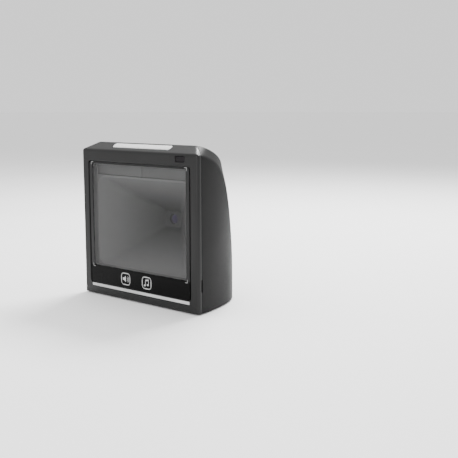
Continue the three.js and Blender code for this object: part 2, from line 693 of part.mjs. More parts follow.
place('speaker_basket', speakerBasket(), STEEL);
place('speaker_magnet', speakerMagnet(), STEEL);
place('speaker_cone', speakerCone(), PAPER_CONE);

export default scanner;
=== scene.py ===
"""Looks of an upright presentation scanner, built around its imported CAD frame.

Shapes are worked out in millimetres in the design frame: x to the right, y back from the
front face, z up from the underside of the casing. to_row() turns them into the row frame.
"""
import json
import math

import bmesh
import bpy
import numpy as np
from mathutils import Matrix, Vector


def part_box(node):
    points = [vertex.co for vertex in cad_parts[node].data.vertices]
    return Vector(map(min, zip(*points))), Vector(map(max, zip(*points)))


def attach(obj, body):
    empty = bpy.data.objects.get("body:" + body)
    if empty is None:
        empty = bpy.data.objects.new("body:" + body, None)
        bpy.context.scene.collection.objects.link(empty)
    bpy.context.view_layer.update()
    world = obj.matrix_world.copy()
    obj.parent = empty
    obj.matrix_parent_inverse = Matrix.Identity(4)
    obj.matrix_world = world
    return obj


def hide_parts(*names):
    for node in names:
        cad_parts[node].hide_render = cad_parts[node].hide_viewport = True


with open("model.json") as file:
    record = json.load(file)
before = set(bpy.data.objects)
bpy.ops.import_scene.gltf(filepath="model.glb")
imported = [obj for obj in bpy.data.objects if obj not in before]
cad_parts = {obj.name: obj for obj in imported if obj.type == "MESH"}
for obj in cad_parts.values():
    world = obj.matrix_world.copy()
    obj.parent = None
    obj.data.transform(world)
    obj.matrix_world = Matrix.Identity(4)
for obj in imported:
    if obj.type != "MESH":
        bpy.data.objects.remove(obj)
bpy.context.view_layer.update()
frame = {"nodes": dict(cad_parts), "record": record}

MM = 0.001
BEZEL_LOW, BEZEL_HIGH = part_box("front_bezel")
FRONT_Y, BASE_Z = BEZEL_LOW.y, BEZEL_LOW.z
WIDTH = (BEZEL_HIGH.x - BEZEL_LOW.x) / MM
DEPTH = (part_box("cable_cover")[1].y - FRONT_Y) / MM
CREST_ROUNDING = 0.2  # what the rounding of the crest takes off its height
CREST_HEIGHT = (BEZEL_HIGH.z - BASE_Z) / MM + CREST_ROUNDING


def to_row(points):
    """Design-frame millimetres to row-frame metres."""
    moved = np.array(points, float).reshape(-1, 3) * MM
    return moved + np.array([0, FRONT_Y, BASE_Z])


# ---- camera -------------------------------------------------------------------------
SENSOR = 36.0
AZIMUTH = 39.875
ELEVATION = 8.68
DISTANCE = 749.3
FOCAL = 63.93
AIM = (0, 40, 75)
SIDE_STEP = 55.7  # the camera stands this far to its own right of the aim line
RISE = -13.45  # and this far above it, so a little below
CLIP = (0.01, 20)


def make_camera():
    camera = bpy.data.objects.new("camera", bpy.data.cameras.new("camera"))
    bpy.context.scene.collection.objects.link(camera)
    bpy.context.scene.camera = camera
    camera.data.sensor_width = SENSOR
    camera.data.lens = FOCAL
    a, e = math.radians(AZIMUTH), math.radians(ELEVATION)
    back = Vector((math.sin(a) * math.cos(e), -math.cos(a) * math.cos(e), math.sin(e)))
    right = Vector((math.cos(a), math.sin(a), 0))
    up = back.cross(right)
    aim = Vector(to_row([AIM])[0])
    offset = (back * DISTANCE + right * SIDE_STEP + up * RISE) * MM
    camera.location = aim + offset
    camera.rotation_mode = "QUATERNION"
    camera.rotation_quaternion = back.to_track_quat("Z", "Y")
    camera.data.clip_start, camera.data.clip_end = CLIP


make_camera()

# ---- materials ----------------------------------------------------------------------
NOISE_RANGE = (0.3, 0.7)  # nearly all of a noise texture lies between these values
NOISE_ROUGHNESS = 0.55
TONE_SPREAD = 0.12  # how far handling marks darken and lighten a moulding
EDGE_HIGHLIGHT_GAIN = 1.6  # how much lighter the painted highlight makes a convex edge
EDGE_HIGHLIGHT_RANGE = (0.52, 0.62)  # pointiness from a flat face to an edge with the full painted highlight
SHADE_START = 3  # depth behind the face where the painted shade begins to darken the shroud
SHADE_DEPTH = 45
BRUSHED = (1, 1, 40)  # stretch of the brushing noise along x, y and z
BOARD_GREENS = ((0.012, 0.09, 0.045), (0.016, 0.12, 0.06), (0.03, 0.2, 0.1))


class Nodes:
    """A small helper that adds and links nodes in one material."""

    def __init__(self, name):
        self.material = bpy.data.materials.new(name)
        self.material.use_nodes = True
        self.tree = self.material.node_tree
        self.shader = self.tree.nodes["Principled BSDF"]
        self.output = self.tree.nodes["Material Output"]

    def add(self, kind, **values):
        node = self.tree.nodes.new(kind)
        for key, value in values.items():
            if hasattr(node, key):
                setattr(node, key, value)
            else:
                node.inputs[key.replace("_", " ")].default_value = value
        return node

    def link(self, out, to):
        self.tree.links.new(out, to)

    def coordinates(self):
        return self.add("ShaderNodeTexCoord").outputs["Object"]

    def noise(self, scale, detail=3.0):
        node = self.add("ShaderNodeTexNoise", Scale=scale, Detail=detail, Roughness=NOISE_ROUGHNESS)
        self.link(self.coordinates(), node.inputs["Vector"])
        return node.outputs["Fac"]

    def ramp(self, source, low, high, start=0.0, end=1.0):
        node = self.add("ShaderNodeMapRange")
        node.inputs["From Min"].default_value = start
        node.inputs["From Max"].default_value = end
        node.inputs["To Min"].default_value = low
        node.inputs["To Max"].default_value = high
        self.link(source, node.inputs["Value"])
        return node.outputs["Result"]

    def mix(self, factor):
        """Two colour inputs and the output of a node that mixes them."""
        node = self.add("ShaderNodeMix", data_type="RGBA")
        self.link(factor, node.inputs["Factor"])
        first, second = (s for s in node.inputs if s.type == "RGBA")
        result = next(s for s in node.outputs if s.type == "RGBA")
        return first, second, result

    def blend(self, factor, dark, light):
        first, second, result = self.mix(factor)
        first.default_value = (*dark, 1)
        second.default_value = (*light, 1)
        return result

    def bump(self, height, strength, distance):
        node = self.add("ShaderNodeBump", Strength=strength, Distance=distance)
        self.link(height, node.inputs["Height"])
        self.link(node.outputs["Normal"], self.shader.inputs["Normal"])


def grey(value):
    return (value, value, value)


def scaled(colour, factor):
    return tuple(c * factor for c in colour)


def moulded(name, colour, rough, grain=1500, depth=0.00006, edge_highlight=0.35, shine=0.5):
    """Spark-textured moulding: fine grain, faint handling marks, and convex edges painted lighter as a
    painted highlight.
    """
    n = Nodes(name)
    fine = n.noise(grain, 2.0)
    broad = n.noise(26, 4.0)
    tone = n.blend(n.ramp(broad, 0, 1, *NOISE_RANGE),
                   scaled(colour, 1 - TONE_SPREAD), scaled(colour, 1 + TONE_SPREAD))
    # painted highlight: convex edges, found by pointiness, get a lighter colour
    point = n.add("ShaderNodeNewGeometry").outputs["Pointiness"]
    clean, highlit, result = n.mix(n.ramp(point, 0, edge_highlight, *EDGE_HIGHLIGHT_RANGE))
    n.link(tone, clean)
    highlit.default_value = (*scaled(colour, EDGE_HIGHLIGHT_GAIN), 1)
    n.link(result, n.shader.inputs["Base Color"])
    total = n.add("ShaderNodeMath", operation="ADD")
    n.link(n.ramp(fine, -0.06, 0.06, *NOISE_RANGE), total.inputs[0])
    n.link(n.ramp(broad, rough - 0.05, rough + 0.05, *NOISE_RANGE), total.inputs[1])
    n.link(total.outputs[0], n.shader.inputs["Roughness"])
    n.shader.inputs["Specular IOR Level"].default_value = shine
    n.bump(fine, 0.5, depth)
    return n.material


def depth_shaded_moulding(name, near, deep):
    """Matt moulding in its near colour, whose colour darkens with depth behind the pane: painted shade
    for the light lost in it.
    """
    n = Nodes(name)
    axes = n.add("ShaderNodeSeparateXYZ")
    n.link(n.coordinates(), axes.inputs[0])
    start = FRONT_Y + SHADE_START * MM
    depth = n.ramp(axes.outputs["Y"], 0, 1, start, start + SHADE_DEPTH * MM)
    # painted shade: the colour goes from near to deep with depth
    n.link(n.blend(depth, grey(near), grey(deep)), n.shader.inputs["Base Color"])
    n.link(n.ramp(n.noise(1500, 2.0), 0.55, 0.68, *NOISE_RANGE), n.shader.inputs["Roughness"])
    n.shader.inputs["Specular IOR Level"].default_value = 0.1
    return n.material


def plain_metal(name, colour, rough):
    """Metal with fine streaks across the height, as brushing leaves them."""
    n = Nodes(name)
    mapping = n.add("ShaderNodeMapping")
    mapping.inputs["Scale"].default_value = BRUSHED
    n.link(n.coordinates(), mapping.inputs["Vector"])
    streak = n.add("ShaderNodeTexNoise", Scale=60.0, Detail=4.0)
    n.link(mapping.outputs["Vector"], streak.inputs["Vector"])
    value = streak.outputs["Fac"]
    tone = n.blend(value, scaled(colour, 0.85), scaled(colour, 1.1))
    n.link(tone, n.shader.inputs["Base Color"])
    n.link(n.ramp(value, rough - 0.08, rough + 0.1, *NOISE_RANGE), n.shader.inputs["Roughness"])
    n.shader.inputs["Metallic"].default_value = 1.0
    n.bump(value, 0.15, 0.00005)
    return n.material


def circuit_board(name):
    """Solder mask over a fine grid of tracks."""
    n = Nodes(name)
    brick = n.add("ShaderNodeTexBrick", Scale=240.0)
    brick.inputs["Mortar Size"].default_value = 0.03
    for socket, green in zip(("Color1", "Color2", "Mortar"), BOARD_GREENS):
        brick.inputs[socket].default_value = (*green, 1)
    n.link(n.coordinates(), brick.inputs["Vector"])
    n.link(brick.outputs["Color"], n.shader.inputs["Base Color"])
    n.link(n.ramp(n.noise(90), 0.3, 0.5), n.shader.inputs["Roughness"])
    n.bump(brick.outputs["Fac"], 0.2, 0.00005)
    return n.material


def pane_glass(name, tint, haze, coated=1.49):
    """Flat pane that lets light straight through and mirrors by the Fresnel law.

    A low value of coated stands for an anti-reflection coat. Only the outer side mirrors.
    """
    n = Nodes(name)
    clear = n.add("ShaderNodeBsdfTransparent")
    clear.inputs["Color"].default_value = (*tint, 1)
    mirror = n.add("ShaderNodeBsdfGlossy")
    n.link(n.ramp(n.noise(45), 0.04, haze, *NOISE_RANGE), mirror.inputs["Roughness"])
    fresnel = n.add("ShaderNodeFresnel", IOR=coated)
    front = n.add("ShaderNodeMath", operation="SUBTRACT")
    front.inputs[0].default_value = 1
    n.link(n.add("ShaderNodeNewGeometry").outputs["Backfacing"], front.inputs[1])
    share = n.add("ShaderNodeMath", operation="MULTIPLY")
    n.link(fresnel.outputs[0], share.inputs[0])
    n.link(front.outputs[0], share.inputs[1])
    mix = n.add("ShaderNodeMixShader")
    n.link(share.outputs[0], mix.inputs[0])
    n.link(clear.outputs[0], mix.inputs[1])
    n.link(mirror.outputs[0], mix.inputs[2])
    n.link(mix.outputs[0], n.output.inputs["Surface"])
    return n.material


def frosted(name, colour, rough):
    """Cloudy plastic that scatters light just under its skin."""
    n = Nodes(name)
    soft = n.noise(300)
    n.link(n.blend(soft, scaled(colour, 0.93), colour), n.shader.inputs["Base Color"])
    n.link(n.ramp(soft, rough - 0.05, rough + 0.08, *NOISE_RANGE), n.shader.inputs["Roughness"])
    n.shader.inputs["Subsurface Weight"].default_value = 0.3
    n.shader.inputs["Subsurface Radius"].default_value = (0.003, 0.003, 0.003)
    n.shader.inputs["Subsurface Scale"].default_value = 1.0
    n.bump(soft, 0.1, 0.00005)
    return n.material


INK_DEPTH = 0.00001  # depth of the grain on printed and polished faces
SHELL = moulded("shell_plastic", grey(0.011), 0.4, shine=0.2)
# same moulding as the shell, painted darker: painted shade on the rear housing and the cable cover
SHADED_SHELL = moulded("shaded_rear_shell_plastic", grey(0.0075), 0.46, shine=0.07)
BLACK = moulded("black_plastic", grey(0.01), 0.5, shine=0.3)
# the shroud's own grey near the pane, painted darker with depth as painted shade
SHROUD = depth_shaded_moulding("shroud_plastic", 0.25, 0.09)
RUBBER = moulded("foot_rubber", grey(0.012), 0.85, 900, 0.0001)
INK = moulded("mask_ink", grey(0.002), 0.3, 4000, INK_DEPTH, shine=0.05)
BORDER = moulded("border_ink", grey(0.01), 0.4, 3000, INK_DEPTH, shine=0.2)
TUBE = moulded("lens_tube_plastic", grey(0.2), 0.6, edge_highlight=0.0, shine=0.2)
MARK = moulded("mark_ink", grey(0.24), 0.5, 3000, INK_DEPTH, edge_highlight=0.0)
PRINT = moulded("symbol_ink", grey(0.5), 0.5, 3000, INK_DEPTH, edge_highlight=0.0)
SILL = moulded("sill_plastic", grey(0.5), 0.35, 3000, edge_highlight=0.0)
SENSOR_TINT = moulded("sensor_window_plastic", (0.004, 0.003, 0.004), 0.15, 4000, INK_DEPTH, shine=0.2)
PANE = pane_glass("pane_glass", grey(0.8), 0.09, 1.2)
LENS_GLASS = pane_glass("lens_glass", (0.75, 0.7, 0.85), 0.06)
STATUS = frosted("status_lens_plastic", grey(0.72), 0.3)
DIFFUSER = frosted("diffuser_plastic", grey(0.17), 0.5)
LIGHT_LENS = frosted("light_lens_plastic", grey(0.7), 0.25)
BOARD = circuit_board("circuit_board")
COPPER = plain_metal("copper", (0.75, 0.38, 0.2), 0.35)
STEEL = plain_metal("steel", grey(0.5), 0.32)
ALUMINIUM = plain_metal("aluminium", grey(0.7), 0.35)
CONE_PAPER = moulded("cone_paper", (0.03, 0.026, 0.022), 0.9, 700, 0.0001)

SLOT_MATERIALS = {
    "housing_plastic": SHELL, "black_plastic": BLACK, "rubber": RUBBER,
    "window_glass": LENS_GLASS, "clear_plastic": LIGHT_LENS, "sill_plastic": SILL,
    "board": BOARD, "copper": COPPER, "steel": STEEL, "aluminium": ALUMINIUM,
    "paper_cone": CONE_PAPER, "shroud_plastic": SHROUD,
}
CREASE_ANGLE = math.radians(32)


def dress_cad_nodes():
    slots = {s["node"]: s["material_slot"] for s in frame["record"]["subparts"]}
    for name, node in frame["nodes"].items():
        look = PANE if name == "scan_window" else SLOT_MATERIALS[slots[name]]
        node.data.materials.clear()
        node.data.materials.append(look)
        node.data.set_sharp_from_angle(angle=CREASE_ANGLE)


dress_cad_nodes()

# ---- mesh helpers -------------------------------------------------------------------


def make_piece(name, vertices, faces, material, body=None, slot=None, replaces=()):
    """A mesh object from design-frame points, riding on a body when one is named."""
    mesh = bpy.data.meshes.new(name)
    mesh.from_pydata([tuple(v) for v in to_row(vertices)], [], faces)
    mesh.validate()
    return adopt(bpy.data.objects.new(name, mesh), material, body, slot, replaces)


def adopt(piece, material, body=None, slot=None, replaces=()):
    """Gives a piece its material and normals, and its place in the frame when body is named."""
    if piece.name not in bpy.context.scene.collection.objects:
        bpy.context.scene.collection.objects.link(piece)
    piece.data.materials.clear()
    piece.data.materials.append(material)
    finish_normals(piece)
    if body:
        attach(piece, body)
    if replaces:
        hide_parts(*replaces)
    return piece


def finish_normals(piece):
    mesh = piece.data
    bm = bmesh.new()
    bm.from_mesh(mesh)
    bmesh.ops.recalc_face_normals(bm, faces=bm.faces)
    bm.to_mesh(mesh)
    bm.free()
    mesh.shade_smooth()
    mesh.set_sharp_from_angle(angle=CREASE_ANGLE)


def loft_piece(name, rings, material, **roles):
    """Closed mesh through rings of equal point count, with flat caps on both ends."""
    count = len(rings[0])
    vertices = [p for ring in rings for p in ring]
    faces = []
    for level in range(len(rings) - 1):
        for i in range(count):
            j = (i + 1) % count
            a, b = level * count + i, level * count + j
            faces.append((a, b, b + count, a + count))
    faces.append(tuple(reversed(range(count))))
    last = (len(rings) - 1) * count
    faces.append(tuple(range(last, last + count)))
    return make_piece(name, vertices, faces, material, **roles)


def rounded_rect(x0, x1, z0, z1, radius, steps=8):
    corners = [(x1 - radius, z0 + radius, -90), (x1 - radius, z1 - radius, 0),
               (x0 + radius, z1 - radius, 90), (x0 + radius, z0 + radius, 180)]
    points = []
    for cx, cz, start in corners:
        for i in range(steps + 1):
            angle = math.radians(start + 90 * i / steps)
            points.append((cx + radius * math.cos(angle), cz + radius * math.sin(angle)))
    return points


def plate(name, outline, y0, y1, material, chamfer=0.0, **roles):
    """Flat plate in the x-z plane, chamfered round its front edge."""
    cx = sum(p[0] for p in outline) / len(outline)
    cz = sum(p[1] for p in outline) / len(outline)
    half_x = max(p[0] for p in outline) - cx
    half_z = max(p[1] for p in outline) - cz

    def ring(y, shrink):
        fx, fz = 1 - shrink / half_x, 1 - shrink / half_z
        return [(cx + (x - cx) * fx, y, cz + (z - cz) * fz) for x, z in outline]

    rings = [ring(y0, chamfer)] if chamfer else []
    return loft_piece(name, [*rings, ring(y0 + chamfer, 0), ring(y1, 0)], material, **roles)


def prism(points, axis, low, high):
    """Scratch cutter: points are (x, y) along z, (x, z) along y, or (y, z) along x."""
    place = {
        "z": lambda a, b, c: (a, b, c),
        "y": lambda a, b, c: (a, c, b),
        "x": lambda a, b, c: (c, a, b),
    }[axis]
    rings = [[place(a, b, c) for a, b in points] for c in (low, high)]
    return loft_piece("cutter", rings, BLACK)


def box_cutter(x, y, z):
    return prism([(x[0], y[0]), (x[1], y[0]), (x[1], y[1]), (x[0], y[1])], "z", z[0], z[1])


def cut(target, cutter, operation="DIFFERENCE"):
    """Applies one boolean and removes the cutter."""
    modifier = target.modifiers.new("cut", "BOOLEAN")
    modifier.operation = operation
    modifier.solver = "MANIFOLD"
    modifier.object = cutter
    depsgraph = bpy.context.evaluated_depsgraph_get()
    result = bpy.data.meshes.new_from_object(target.evaluated_get(depsgraph))
    target.modifiers.clear()
    old = target.data
    target.data = result
    bpy.data.meshes.remove(old)
    bpy.data.objects.remove(cutter)
    return target


def copy_of(piece, name):
    """A copy of a piece with a mesh of its own."""
    twin = piece.copy()
    twin.data = piece.data.copy()
    twin.name = name
    bpy.context.scene.collection.objects.link(twin)
    return twin


# ---- casing form --------------------------------------------------------------------
# The form is the meeting of a plan outline, a leaning wall, a brow, a rear slope and two
# shoulders. Each gives a signed distance, and a soft maximum of them rounds the creases.
CREST_Y = 11.8
FACE_HEIGHT = 134.4
SHOULDER = ((71.3, 134.6), (60.0, 141.4))
CORNER = 3.0
PLAN_BEND = 2.4
PLAN_BEND_Y = 33.7
PLAN_REAR = 59
PLAN_FLAT = 34.7
# leaning wall: height, half width, bulge x, bulge y, rear half width, depth
LEAN = ((0, 92, 101, 43, 78, 83), (80, 100, 109, 12, 52, 81), (140, 68, 64, 11.5, 54.5, 81.3))
SLOPE_FALL = 0.2
SLOPE_BEND = 0.0041
ROUNDING = dict(lean=1.0, crest=0.9, shoulder=1.0, rim=1.6)
AXIS_Y = 30.0  # the casing mesh fans out from a vertical line at this depth
DOME_Z = 100.0  # above this height the rows fan up from a point on that line
RAY_SPAN = 120.0
BISECTIONS = 30
DOME_ROWS = (30, 10, 14, 10, 50)  # rows below, across, between, across and above the two creases
CREASE_BAND = math.radians(1.4)
WALL_ROWS = 38
WALL = 2.4


def bezier(points, count):
    t = np.linspace(0, 1, count)[:, None]
    a, b, c, d = (np.array(p, float) for p in points)
    return (1 - t) ** 3 * a + 3 * (1 - t) ** 2 * t * b + 3 * (1 - t) * t * t * c + t ** 3 * d


def polar(curve):
    """Angle, radius and cosine between radius and normal, along a curve round the axis."""
    x, y = curve[:, 0], curve[:, 1] - AXIS_Y
    angle, radius = np.arctan2(y, x), np.hypot(x, y)
    run = np.gradient(curve, axis=0)
    run /= np.maximum(np.hypot(run[:, 0], run[:, 1]), 1e-9)[:, None]
    cosine = (run[:, 1] * x - run[:, 0] * y) / radius
    return angle, radius, np.clip(cosine, 0.2, 1)


def plan_curve():
    """Right half of the outline seen from above, from the front centre to the rear."""
    side = WIDTH / 2
    turn = np.radians(np.linspace(-90, 0, 30))
    front = [(x, 0.0) for x in np.linspace(0, side - CORNER, 60)[:-1]]
    corner = [(side - CORNER + CORNER * math.cos(a), CORNER + CORNER * math.sin(a)) for a in turn]
    wall = bezier([(side, CORNER), (side - PLAN_BEND, PLAN_BEND_Y),
                   (PLAN_REAR, DEPTH), (PLAN_FLAT, DEPTH)], 110)[1:]
    back = [(x, DEPTH) for x in np.linspace(PLAN_FLAT, 0, 24)[1:]]
    return np.array([*front, *corner, *wall.tolist(), *back])


def lean_curve(z):
    """Outline of the leaning wall at one height, by the parabola through LEAN."""
    (za, *a), (zb, *b), (zc, *c) = LEAN
    wa = (z - zb) * (z - zc) / ((za - zb) * (za - zc))
    wb = (z - za) * (z - zc) / ((zb - za) * (zb - zc))
    wc = (z - za) * (z - zb) / ((zc - za) * (zc - zb))
    side, bulge_x, bulge_y, rear, depth = (wa * p + wb * q + wc * r for p, q, r in zip(a, b, c))
    return bezier([(side, 0), (bulge_x, bulge_y), (rear, depth), (0, depth)], 160)


PLAN = plan_curve()
PLAN_POLAR = polar(PLAN)
LEAN_ANGLES = np.radians(np.linspace(-89.9, 90, 500))
LEAN_HEIGHTS = np.arange(0, 150.0, 1.0)


def lean_row(z):
    """Radius and cosine of the leaning wall at one height, at every one of LEAN_ANGLES."""
    angles, radii, cosines = polar(lean_curve(z))
    return [np.interp(LEAN_ANGLES, angles, radii), np.interp(LEAN_ANGLES, angles, cosines)]


LEAN_GRID = np.array([lean_row(z) for z in LEAN_HEIGHTS])


def soft_max(a, b, width):
    h = np.maximum(width - np.abs(a - b), 0) / width
    return np.maximum(a, b) + h * h * width / 4


def surfaces(x, y, z):
    """Signed distances of points from the wall, the brow, the shoulder and the slope."""
    angle, radius = np.arctan2(y - AXIS_Y, np.abs(x)), np.hypot(x, y - AXIS_Y)
    angles, radii, cosines = PLAN_POLAR
    plan = (radius - np.interp(angle, angles, radii)) * np.interp(angle, angles, cosines)
    column = (angle - LEAN_ANGLES[0]) / (LEAN_ANGLES[1] - LEAN_ANGLES[0])
    column = np.clip(column, 0, len(LEAN_ANGLES) - 1.001)
    row = np.clip(z, 0, LEAN_HEIGHTS[-1] - 0.001)
    i, j = row.astype(int), column.astype(int)
    u, v = row - i, column - j
    reach, cosine = [
        (LEAN_GRID[i, k, j] * (1 - v) + LEAN_GRID[i, k, j + 1] * v) * (1 - u)
        + (LEAN_GRID[i + 1, k, j] * (1 - v) + LEAN_GRID[i + 1, k, j + 1] * v) * u for k in (0, 1)]
    wall = soft_max(plan, (radius - reach) * cosine, ROUNDING["lean"])
    rise, run = CREST_HEIGHT - FACE_HEIGHT, CREST_Y
    brow = ((z - FACE_HEIGHT) * run - y * rise) / math.hypot(rise, run)
    (x0, z0), (x1, z1) = SHOULDER
    shoulder = (np.abs(x) - x0) * (z1 - z0) + (z - z0) * (x0 - x1)
    shoulder /= math.hypot(x1 - x0, z1 - z0)
    back = y - CREST_Y
    slope = z - (CREST_HEIGHT - SLOPE_FALL * back - SLOPE_BEND * back * np.abs(back))
    return wall, brow, shoulder, slope


def casing_distance(x, y, z):
    wall, brow, shoulder, slope = surfaces(x, y, z)
    top = soft_max(soft_max(brow, slope, ROUNDING["crest"]), shoulder, ROUNDING["shoulder"])
    return soft_max(wall, top, ROUNDING["rim"])


def reach_surface(origin, direction, inset):
    """Points where rays from inside the casing meet the form at a depth, by bisection."""
    low, high = np.zeros(len(direction)), np.full(len(direction), RAY_SPAN)
    for _ in range(BISECTIONS):
        middle = (low + high) / 2
        p = origin + direction * middle[:, None]
        inside = casing_distance(p[:, 0], p[:, 1], p[:, 2]) < -inset
        low, high = np.where(inside, middle, low), np.where(inside, high, middle)
    return origin + direction * low[:, None]


def row_angles(heading):
    """Elevations of the dome rows in one direction, crowded round its two creases."""
    fine = np.radians(np.linspace(0, 89.5, 360))
    direction = np.stack([np.cos(fine) * heading[0], np.cos(fine) * heading[1], np.sin(fine)], 1)
    p = reach_surface(np.array([0, AXIS_Y, DOME_Z]), direction, 0)
    kind = np.argmax(np.stack(surfaces(p[:, 0], p[:, 1], p[:, 2])), axis=0)
    first, second = fine[np.argmax(kind > 0)], fine[np.argmax(kind == 3)]
    band = CREASE_BAND
    if second - first < 2 * band:
        middle = (first + second) / 2
        first, second = middle - band, middle + band
    first = max(first, 1.5 * band)
    knots = [0, first - band, first + band, second - band, second + band, fine[-1]]
    parts = [np.linspace(a, b, n, endpoint=False) for a, b, n in zip(knots, knots[1:], DOME_ROWS)]
    return np.concatenate([*parts, [fine[-1]]])


HEADINGS = [(x / r, (y - AXIS_Y) / r) for x, y in PLAN for r in [math.hypot(x, y - AXIS_Y)]]
ROW_ANGLES = [row_angles(heading) for heading in HEADINGS]


def casing_mesh(name, inset=0.0, floor=0.0):
    """The outer form as one closed grid, or the form at a depth under its skin."""
    walls = np.concatenate([[0], np.linspace(2, DOME_Z, WALL_ROWS)])[:-1]
    columns = []
    for heading, rows in zip(HEADINGS, ROW_ANGLES):
        flat = np.array([[heading[0], heading[1], 0.0]] * len(walls))
        origins = np.stack([np.zeros(len(walls)), np.full(len(walls), AXIS_Y), walls], 1)
        cos, sin = np.cos(rows), np.sin(rows)
        dome = np.stack([cos * heading[0], cos * heading[1], sin], 1)
        points = np.vstack([reach_surface(origins, flat, inset),
                            reach_surface(np.array([0, AXIS_Y, DOME_Z]), dome, inset)])
        points[0, 2] = floor
        columns.append(points)
    right = columns[1:-1]
    left = [c * np.array([-1, 1, 1]) for c in reversed(right)]
    ring = [columns[0], *right, columns[-1], *left]
    count, total = len(ring[0]), len(ring)
    faces = []
    for i in range(total):
        a, b = i * count, (i + 1) % total * count
        faces += [(a + k, b + k, b + k + 1, a + k + 1) for k in range(count - 1)]
    faces.append(tuple(i * count for i in reversed(range(total))))
    faces.append(tuple(i * count + count - 1 for i in range(total)))
    return make_piece(name, np.vstack(ring), faces, SHELL)


# ---- shared dimensions --------------------------------------------------------------
# A half is half a width or a length, and low, high, bottom and top are heights.
SEAM = 0.5
SEAM_Y = 5
SHOULDER_Z = 133.4
BROW_HALF = 58.6
BELOW, BEHIND, ABOVE = -5, 95, 160  # where cutters end, clear of the casing
PLAY = 0.3  # gap round a fitted piece
LATCH_SLOT = dict(half=0.9, deep=2, low=18, high=29)
HOOK = dict(inset=6, half=3, low=27, rise=3, front=0.6, back=2.2, root=(26.5, 31), root_depth=1)
WINDOW = dict(half=63.8, bottom=10, top=124.2, corner=2.5)
CLEAR = dict(half=58.6, bottom=26.8, top=122.0)
PANE_BOX = dict(half=62.4, bottom=10.6, top=122.6, y=0.6, thick=1.8)
GASKET_BOX = dict(half=66, bottom=6.2, top=127.6, y=2.7, thick=3.6)
SILL_BOX = dict(half=62, bottom=6.7, top=9.3, depth=1.6)
SENSOR_BOX = dict(x=52.5, z=130, w=11, h=5.3)
STATUS_BAR = dict(half=35.7, width=6.2, along=0.62)
COVER = dict(inner=12.3, outer=42, top=35, strip=6)
NOTCHES = ((25.5, 37, 6.6), (-35, -18, 6.4))  # from x, to x, height
BADGE = [(-16, 55), (16, 55), (16, 64), (11.5, 71.5), (-11.5, 71.5), (-16, 64)]
BADGE_DEPTH = 0.8
CAMERA_Z = 70
BASE_THICK = 2.2
BASE_SCREWS = ((-65, 16), (65, 16), (-50, 57), (50, 57))
FEET = ((-52, 12), (52, 12), (-30, 58), (30, 58))
FOOT_R = 6.0
FOOT_PROFILE = ((0, -1.2), (3.0, -1.2), (3.2, -1.1), (3.5, -1.1), (3.7, -1.2), (5.0, -1.2), (5.5, -1.1),
                (5.85, -0.75), (FOOT_R, -0.3), (FOOT_R, 0.5), (0, 0.5))
SCREW_SEAT = 1.0
SCREW_PROFILE = ((0, -1.2), (1.6, -1.2), (2.3, -1.05), (2.65, -0.7), (2.7, -0.05), (1.4, 0), (1.4, 8.5),
                 (1.1, 9), (0, 9))
SPEAKER = (42, 34)
SOUND_SLOT = dict(pitch=4.2, reach=10.5, taper=1.4, half=0.9)
LABEL = (-30, 22, 26, 52)  # from x, to x, from y, to y
PRINT_OVERHANG = 0.1  # the print reaches this far past the pane, to hide its edge
REVEAL_TOP = 121.4
REVEAL_STEPS = ((60.4, 0), (59.9, 0.5))  # half width and how far in, outside and inside
GASKET_MOUTH = (-60.5, 60.5, 10.5, 121.5)  # from x, to x, from z, to z
STROKE_LAP = 0.3  # how far a stroke runs past its ends, as a share of half its width
TOUCH = dict(centre=-3, spread=13.5, z=18.5, half_w=5.5, half_h=5.2)
CORNER_MARK = dict(out=1.2, arm=2.6, width=0.5)
# near and far: half width, from z, to z
FUNNEL = dict(near=(58.6, 27.2, 109.6), far=(9, CAMERA_Z - 6.4, CAMERA_Z + 6.4),
              near_y=6.6, far_y=48, wall=2.0)
FLANGE = (-63.5, 63.5, 24.6, 123.5)  # from x, to x, from z, to z
FLANGE_THICK = 1.3
LIGHT_BAR = dict(start=0.1, end=57.5, low=111.6, high=120.6)
APERTURE_R = 4.4
BROW_ANGLE = math.atan2(CREST_HEIGHT - FACE_HEIGHT, CREST_Y)
BROW_LENGTH = math.hypot(CREST_HEIGHT - FACE_HEIGHT, CREST_Y)


def on_brow(points):
    """Points drawn flat (x across, y up the brow, z out of it), set on the brow."""
    c, s = math.cos(BROW_ANGLE), math.sin(BROW_ANGLE)
    return [(x, y * c - z * s, FACE_HEIGHT + y * s + z * c) for x, y, z in points]


def flared(outline_at, stations):
    """Cutter through rounded rectangles that change along y."""
    rings = [[(x, y, z) for x, z in outline_at(grow)] for y, grow in stations]
    return loft_piece("cutter", rings, BLACK)


# ---- casing pieces ------------------------------------------------------------------
def core(inset):
    """Scratch solid: the casing form at a depth under its skin, and a little below the floor."""
    return casing_mesh("core", inset, -2)


def cover_region(grow):
    """Cutter with the outline of the cable cover: two tabs and the strip that joins them."""
    outer, inner = COVER["outer"] + grow, COVER["inner"] - grow
    whole = box_cutter((-outer, outer), (62, 90), (-3, COVER["top"] + grow))
    tongue = box_cutter((-inner, inner), (60, BEHIND), (COVER["strip"] + grow, 60))
    return cut(whole, tongue)


def latch_slots(piece):
    """Small upright slots on the side seams, where a tool opens the casing."""
    slot = LATCH_SLOT
    for side in (-1, 1):
        x = sorted((side * (WIDTH / 2 - slot["deep"]), side * (WIDTH / 2 + slot["deep"])))
        y = (SEAM_Y - slot["half"], SEAM_Y + slot["half"])
        cut(piece, box_cutter(x, y, (slot["low"], slot["high"])))


def window_opening(grow):
    w = WINDOW
    return rounded_rect(-w["half"] - grow, w["half"] + grow, w["bottom"] - 0.1 * grow,
                        w["top"] + grow, w["corner"] + grow)


def sensor_opening(grow):
    s = SENSOR_BOX
    return rounded_rect(s["x"] - s["w"] / 2 - grow, s["x"] + s["w"] / 2 + grow,
                        s["z"] - s["h"] / 2 - grow, s["z"] + s["h"] / 2 + grow, 1 + grow)


